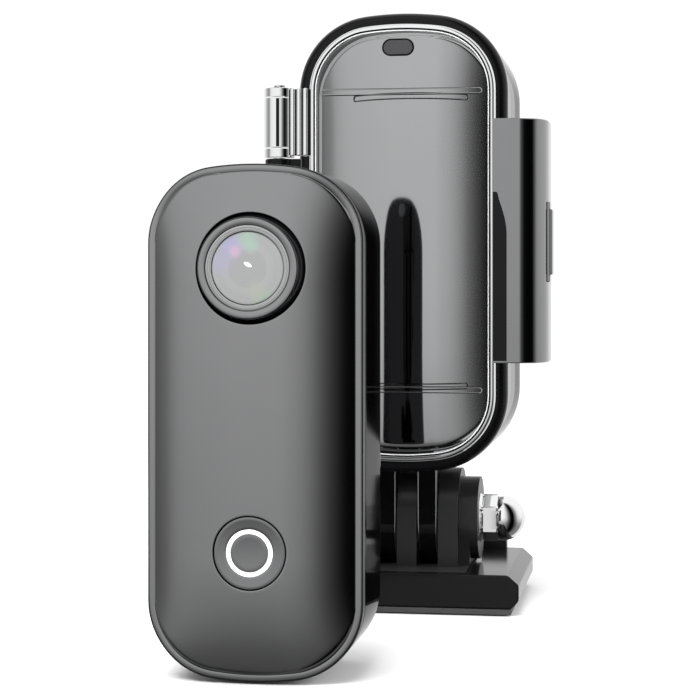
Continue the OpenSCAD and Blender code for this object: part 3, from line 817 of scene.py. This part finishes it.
def hinge():
    """Clear knuckles of the door with dark upright stripes of painted reflection, and their ribbed straps."""
    body = BODY_OF["case_door"]
    for number, (z0, z1) in enumerate(((66.2, 76.5), (30.5, 41.2))):
        profile = [(0.42, z0), (0.96, z0), (1.0, z0 + 0.1), (1.0, z0 + 1.3), (0.9, z0 + 1.42),
                   (1.0, z0 + 1.55), (1.0, z1 - 1.55), (0.9, z1 - 1.42), (1.0, z1 - 1.3), (1.0, z1 - 0.1),
                   (0.96, z1), (0.42, z1)]
        points, faces = upright([(scale * KNUCKLE_R, z) for scale, z in profile], HINGE_X, HINGE_Y, 144)
        name = f"door_knuckle_{number}"
        unreflected(add_mesh(name, points, faces, "clear_knuckle", body))
        # Near-black upright stripes on each knuckle: painted reflection of the dark studio walls.
        for dark_stripe, (dx, wide) in enumerate(((-1.9, 0.25), (-0.1, 0.5), (1.15, 0.3))):
            front = HINGE_Y - math.sqrt(KNUCKLE_R**2 - dx * dx)
            low = (HINGE_X + dx, front - 0.02, z0 + 1.6)
            high = (HINGE_X + dx + wide, front + 0.3, z1 - 1.6)
            name = f"door_flute_{number}_{dark_stripe}"
            unreflected(box_piece(name, low, high, "near_black_metal", body, 0.05))
        low, high = (HINGE_X + 1.7, -13.7, z0 + 0.25), (-13.4, -12.8, z1 - 0.25)
        unreflected(box_piece(f"door_strap_{number}", low, high, "near_black_metal", body))
        for rib in range(3):
            at = HINGE_X + 2.0 + 0.95 * rib
            low, high = (at, -14.1, z0 + 0.15), (at + 0.62, -13.4, z1 - 0.15)
            name = f"door_strap_bar_{number}_{rib}"
            unreflected(box_piece(name, low, high, "clear_knuckle", body, 0.24))


def box_piece(name, low, high, look, body, bevel=0.2):
    """Rounded bar between two corners."""
    points = [(x, y, z) for x in (low[0], high[0]) for y in (low[1], high[1]) for z in (low[2], high[2])]
    faces = [(0, 1, 3, 2), (4, 6, 7, 5), (0, 4, 5, 1), (2, 3, 7, 6), (0, 2, 6, 4), (1, 5, 7, 3)]
    piece = add_mesh(name, points, faces, look, body)
    rounding = piece.modifiers.new("edge", "BEVEL")
    rounding.width = bevel * MM
    rounding.segments = 3
    rounding.harden_normals = True
    return piece


def frame_fittings():
    """Hinge barrel and latch lug of the frame."""
    body = BODY_OF["case_frame"]
    profile = ((0.85, 41.35), (1.95, 41.35), (2.1, 41.5), (2.1, 65.9), (1.95, 66.05), (0.85, 66.05))
    points, faces = upright(profile, HINGE_X, HINGE_Y, 64)
    unreflected(add_mesh("hinge_barrel", points, faces, "gloss_black", body, ["case_frame"]))
    unreflected(box_piece("hinge_web", (HINGE_X, -12.9, 41.35), (-15.0, -10.4, 66.05), "gloss_black", body))
    profile = ((0.85, 41.4), (1.45, 41.4), (1.6, 41.55), (1.6, 66.15), (1.45, 66.3), (0.85, 66.3))
    points, faces = upright(profile, LATCH_X, LATCH_Y, 48)
    unreflected(add_mesh("latch_barrel", points, faces, "gloss_black", body),
                box_piece("latch_lug", (15.45, -10.6, 41.4), (16.4, -3.8, 66.3), "gloss_black", body),
                box_piece("latch_web", (15.45, -5.9, 41.4), (LATCH_X, -4.1, 66.3), "gloss_black", body))


def front_shell():
    """Clear front shell with rounded edges. Its face is open at the lens port only."""
    body = BODY_OF["case_front_shell"]
    skin = [(0.3, FRAME_FRONT), (0.0, FRAME_FRONT + 0.3), (0.0, 12.0)]
    skin += arc_pairs(0.0, 12.0, SHELL_EDGE, SHELL_FRONT, 8)
    case_rings("shell_skin", skin, "clear_shell", body, ["case_front_shell"])
    inner = [(CASE_WALL, FRAME_FRONT), (CASE_WALL, 12.9)]
    case_rings("shell_lining", inner, "clear_shell", body)
    edge = CASE_LINE.ring(SHELL_EDGE, SHELL_FRONT)
    port_z = CASE_Z + CAMERA_LIFT + LENS_Z
    angles = [math.atan2(p[2] - port_z, p[0]) for p in edge]
    port = [(PORT_R * math.cos(a), SHELL_FRONT, port_z + PORT_R * math.sin(a)) for a in angles]
    points, faces = join_rings([edge, port])
    add_mesh("shell_face", points, faces, "clear_case", body)


def case_fingers():
    """Two dark fingers under the case with paler edges of painted highlight, each a tongue with a round lower
    end.
    """
    body = BODY_OF["case_front_shell"]
    outline = [(-FINGER_R, CASE_Z + 1.0), (-FINGER_R, PIVOT_Z)]
    outline += [(-FINGER_R * math.cos(a), PIVOT_Z - FINGER_R * math.sin(a)) for a in
                (math.pi * i / 32 for i in range(1, 32))]
    outline += [(FINGER_R, PIVOT_Z), (FINGER_R, CASE_Z + 1.0)]
    for number, x in enumerate((-FINGER_PITCH, FINGER_PITCH)):
        rings = [[(x + side * FINGER_T / 2, y, z) for y, z in outline] for side in (-1, 1)]
        points, faces = join_rings(rings, cap_start=True, cap_end=True)
        name = f"case_finger_{number}"
        piece = add_mesh(name, points, faces, "gloss_black", body, weighted=False)
        piece.data.materials.append(LOOKS["trim_metal"])
        rounding = piece.modifiers.new("edge", "BEVEL")
        rounding.width = 0.22 * MM
        rounding.segments = 2
        rounding.limit_method = "ANGLE"
        rounding.angle_limit = math.radians(32)
        # The rounded edges take the second, paler material: a painted highlight along the finger edges.
        rounding.material = 1
        rounding.harden_normals = True


def latch():
    """Latch lever: a flat front that bends round the corner of the case into its side plate.

    bends gives the slope of the outside in degrees at each x.
    """
    bends = ((13.45, 0), (17.1, 0), (17.45, 17), (17.9, 24), (19.15, 33), (19.6, 44), (20.1, 58),
             (20.75, 72), (21.1, 82), (21.2, 89))
    y, steps = -15.2, 6
    outer = [(bends[0][0], y)]
    for (x0, a0), (x1, a1) in zip(bends, bends[1:]):
        for i in range(steps):
            angle = math.radians(a0 + (a1 - a0) * (i + 0.5) / steps)
            y += (x1 - x0) / steps * math.tan(angle)
            outer.append((x0 + (x1 - x0) * (i + 1) / steps, min(y, -4.3)))
    outer.append((21.2, -4.2))
    section = outer + [(20.05, -4.2), (20.05, -11.2), (19.4, -12.9), (18.4, -13.6), (17.4, -13.8),
                       (13.45, -13.8)]
    body = BODY_OF["latch_lever"]
    z0, z1 = 36.25, 71.45
    rings = []
    for z, inset in ((z0, 0.12), (z0 + 0.12, 0.0), (z1 - 0.12, 0.0), (z1, 0.12)):
        ring = []
        for x, y in section:
            dx, dy = 17.6 - x, -12.0 - y
            far = math.hypot(dx, dy)
            ring.append((x + dx / far * inset, y + dy / far * inset, z))
        rings.append(ring)
    points, faces = join_rings(rings, cap_start=True, cap_end=True)
    unreflected(add_mesh("latch_plate", points, faces, "latch_gray", body, ["latch_lever"]))
    # A thin near-black sheet on the lever front: painted shade in the scoop-shaped dark patch.
    shade_outline = [(13.5, z0 + 0.3), (15.5, z0 + 0.3), (15.5, 55.0), (15.42, 56.0), (15.2, 57.2), (14.8, 58.6),
             (14.4, 59.8), (14.15, 60.8), (13.9, 60.9), (13.5, 60.9)]
    rings = [[(x, y, z) for x, z in shade_outline] for y in (-15.0, -15.24)]
    points, faces = join_rings(rings, cap_start=True, cap_end=True)
    unreflected(add_mesh("latch_painted_shade", points, faces, "near_black_metal", body))
    for number, z in enumerate((z0, 66.45)):
        box_piece(f"latch_arm_{number}", (17.0, -6.4, z), (20.2, -4.2, z + 5), "latch_gray", body)


def domed_nut():
    """Chrome nut: a flange, a six-sided neck and a full dome."""
    neck = ((9.55, 3.5, False), (9.6, 3.68, False), (10.4, 3.68, False), (10.7, 3.4, False),
            (10.9, 3.25, True), (11.0, 3.38, True), (12.9, 3.38, True), (13.05, 3.3, True),
            (13.2, 3.3, False), (13.4, 3.38, False), (13.7, 3.42, False))
    rings = [nut_ring(x, radius, six_sided) for x, radius, six_sided in neck]
    for i in range(1, 15):
        a = math.pi / 2 * i / 15
        rings.append(nut_ring(13.7 + 3.4 * math.sin(a), 3.42 * math.cos(a), False))
    points, faces = join_rings(rings, cap_start=True, cap_end=True)
    add_mesh("acorn_nut_dome", points, faces, "chrome", BODY_OF["acorn_nut"], ["acorn_nut"])


def nut_ring(x, radius, six_sided):
    """A circle, or a six-sided ring, about the tilt axis."""
    ring = []
    for i in range(96):
        a = 2 * math.pi * i / 96
        turn = (a + math.pi / 6) % (math.pi / 3) - math.pi / 6
        far = radius * math.cos(math.pi / 6) / math.cos(turn) * 1.07 if six_sided else radius
        ring.append((x, -far * math.cos(a), PIVOT_Z + far * math.sin(a)))
    return ring


def plain_nodes():
    """Every CAD node that is still shown gets its material."""
    for name, node in frame["nodes"].items():
        node.data.materials.clear()
        node.data.materials.append(LOOKS[SLOT_OF[name]])
        node.data.shade_smooth()
        node.data.set_sharp_from_angle(angle=math.radians(35))
    unreflected(*(frame["nodes"][name] for name in ("door_seal", "hinge_pin", "cradle_pad")))


# ---- light and ground ----


def colour_stops(node, stops):
    """Fills a ramp with (place 0..1, value) pairs."""
    ramp = node.color_ramp
    for i, (at, value) in enumerate(stops):
        stop = ramp.elements[i] if i < 2 else ramp.elements.new(at)
        stop.position = at
        stop.color = (value, value, value, 1)


def make_world():
    """Studio seen in the glossy parts: bright in front and behind, dark panels to the sides, dim below."""
    world = bpy.data.worlds.new("studio")
    bpy.context.scene.world = world
    world.use_nodes = True
    tree = world.node_tree
    tree.nodes.clear()
    place = tree.nodes.new("ShaderNodeTexCoord")
    split = tree.nodes.new("ShaderNodeSeparateXYZ")
    tree.links.new(place.outputs["Generated"], split.inputs["Vector"])

    def math_node(kind, a, b=None):
        """One step of arithmetic on values or sockets."""
        node = tree.nodes.new("ShaderNodeMath")
        node.operation = kind
        for socket, value in zip(node.inputs, (a, b)):
            if value is None:
                continue
            if isinstance(value, (int, float)):
                socket.default_value = value
            else:
                tree.links.new(value, socket)
        return node.outputs["Value"]

    back = math_node("MULTIPLY", split.outputs["Y"], -1.0)
    azimuth = math_node("ARCTAN2", split.outputs["X"], back)
    turn = math_node("ADD", math_node("DIVIDE", azimuth, 2 * math.pi), 0.5)
    around = tree.nodes.new("ShaderNodeValToRGB")
    walls = ((-180, 1.0), (-120, 0.9), (-95, 0.45), (-75, 0.3), (-66, 0.5), (-62, 0.74), (-57, 0.86),
             (-50, 0.93), (-20, 1.0), (8, 1.0), (13, 0.9), (17, 0.84), (22, 0.69), (26, 0.53), (31, 0.3),
             (36, 0.155), (41, 0.065), (46, 0.004), (62, 0.0), (75, 0.25), (90, 0.8), (110, 1.0), (180, 1.0))
    colour_stops(around, [((a + 180) / 360, v) for a, v in walls])
    tree.links.new(turn, around.inputs["Fac"])
    elevation = math_node("ARCSINE", split.outputs["Z"])
    height = math_node("ADD", math_node("DIVIDE", elevation, math.pi), 0.5)
    upward = tree.nodes.new("ShaderNodeValToRGB")
    levels = ((-90, 0.16), (-45, 0.21), (-30, 0.26), (-20, 0.38), (-12, 0.6), (-8, 0.71), (-5, 0.77),
              (0, 0.92), (10, 1.0), (90, 1.0))
    colour_stops(upward, [((a + 90) / 180, v) for a, v in levels])
    tree.links.new(height, upward.inputs["Fac"])
    behind = math_node("MULTIPLY", math_node("SUBTRACT", split.outputs["Y"], 0.35), 4.0)
    behind = math_node("MINIMUM", math_node("MAXIMUM", behind, 0.0), 0.9)
    low = math_node("MAXIMUM", behind, upward.outputs["Color"])
    level = math_node("MULTIPLY", around.outputs["Color"], low)
    background = tree.nodes.new("ShaderNodeBackground")
    tree.links.new(level, background.inputs["Color"])
    background.inputs["Strength"].default_value = 1.0
    output = tree.nodes.new("ShaderNodeOutputWorld")
    tree.links.new(background.outputs["Background"], output.inputs["Surface"])


def area_light(name, at, size, power):
    """A soft light aimed at the set, which itself shows in no reflection."""
    target = (0, -0.03, 0.03)
    data = bpy.data.lights.new(name, "AREA")
    data.shape = "RECTANGLE"
    data.size, data.size_y = size
    data.energy = power
    lamp = bpy.data.objects.new(name, data)
    lamp.location = at
    lamp.rotation_euler = (Vector(target) - Vector(at)).to_track_quat("-Z", "Y").to_euler()
    bpy.context.scene.collection.objects.link(lamp)
    unreflected(lamp)


def make_stage():
    """Pale floor that fades into an even white backdrop."""
    material, tree, output = shader_tree("floor_white")
    matt = tree.nodes.new("ShaderNodeBsdfDiffuse")
    matt.inputs["Color"].default_value = (0.9, 0.9, 0.9, 1)
    white = tree.nodes.new("ShaderNodeEmission")
    white.inputs["Strength"].default_value = 1.05
    place = tree.nodes.new("ShaderNodeTexCoord")
    away = tree.nodes.new("ShaderNodeVectorMath")
    away.operation = "LENGTH"
    tree.links.new(place.outputs["Object"], away.inputs[0])
    fade = tree.nodes.new("ShaderNodeMapRange")
    fade.interpolation_type = "SMOOTHSTEP"
    fade.inputs["From Min"].default_value = 0.12
    fade.inputs["From Max"].default_value = 0.3
    tree.links.new(away.outputs["Value"], fade.inputs["Value"])
    mix = tree.nodes.new("ShaderNodeMixShader")
    tree.links.new(fade.outputs["Result"], mix.inputs["Fac"])
    tree.links.new(matt.outputs["BSDF"], mix.inputs[1])
    tree.links.new(white.outputs["Emission"], mix.inputs[2])
    tree.links.new(mix.outputs["Shader"], output.inputs["Surface"])
    bpy.ops.mesh.primitive_circle_add(vertices=64, radius=0.8, fill_type="NGON", location=(0, 0, -0.0002))
    floor = bpy.context.object
    floor.name = "floor"
    floor.data.materials.append(material)
    material, tree, output = shader_tree("backdrop_white")
    white = tree.nodes.new("ShaderNodeEmission")
    white.inputs["Strength"].default_value = 1.05
    tree.links.new(white.outputs["Emission"], output.inputs["Surface"])
    bpy.ops.mesh.primitive_uv_sphere_add(segments=48, ring_count=24, radius=3.0)
    backdrop = bpy.context.object
    backdrop.name = "backdrop"
    backdrop.data.materials.append(material)
    unreflected(floor, backdrop)
    backdrop.visible_diffuse = False
    backdrop.visible_transmission = False
    backdrop.visible_shadow = False
    area_light("key", (-0.15, -0.35, 0.7), (0.6, 0.6), 9)
    area_light("rim_light", (0.7, 0.25, 0.35), (0.5, 0.5), 5)


plain_nodes()
make_world()
make_stage()
make_cameras()
make_case()
door_ribs()
hinge()
frame_fittings()
front_shell()
case_fingers()
domed_nut()
latch()
for name, bevel in (("port_ring", 0.3), ("shutter_plunger", 0.35), ("latch_lock", 0.15),
                    ("adhesive_pad", 0.15), ("buckle", 0.35), ("thumb_knob", 0.5), ("port_cover", 0.12)):
    refined(name, bevel)
refined("mount_base", 0.3, look="base_black")
bpy.context.scene.view_settings.view_transform = "Standard"
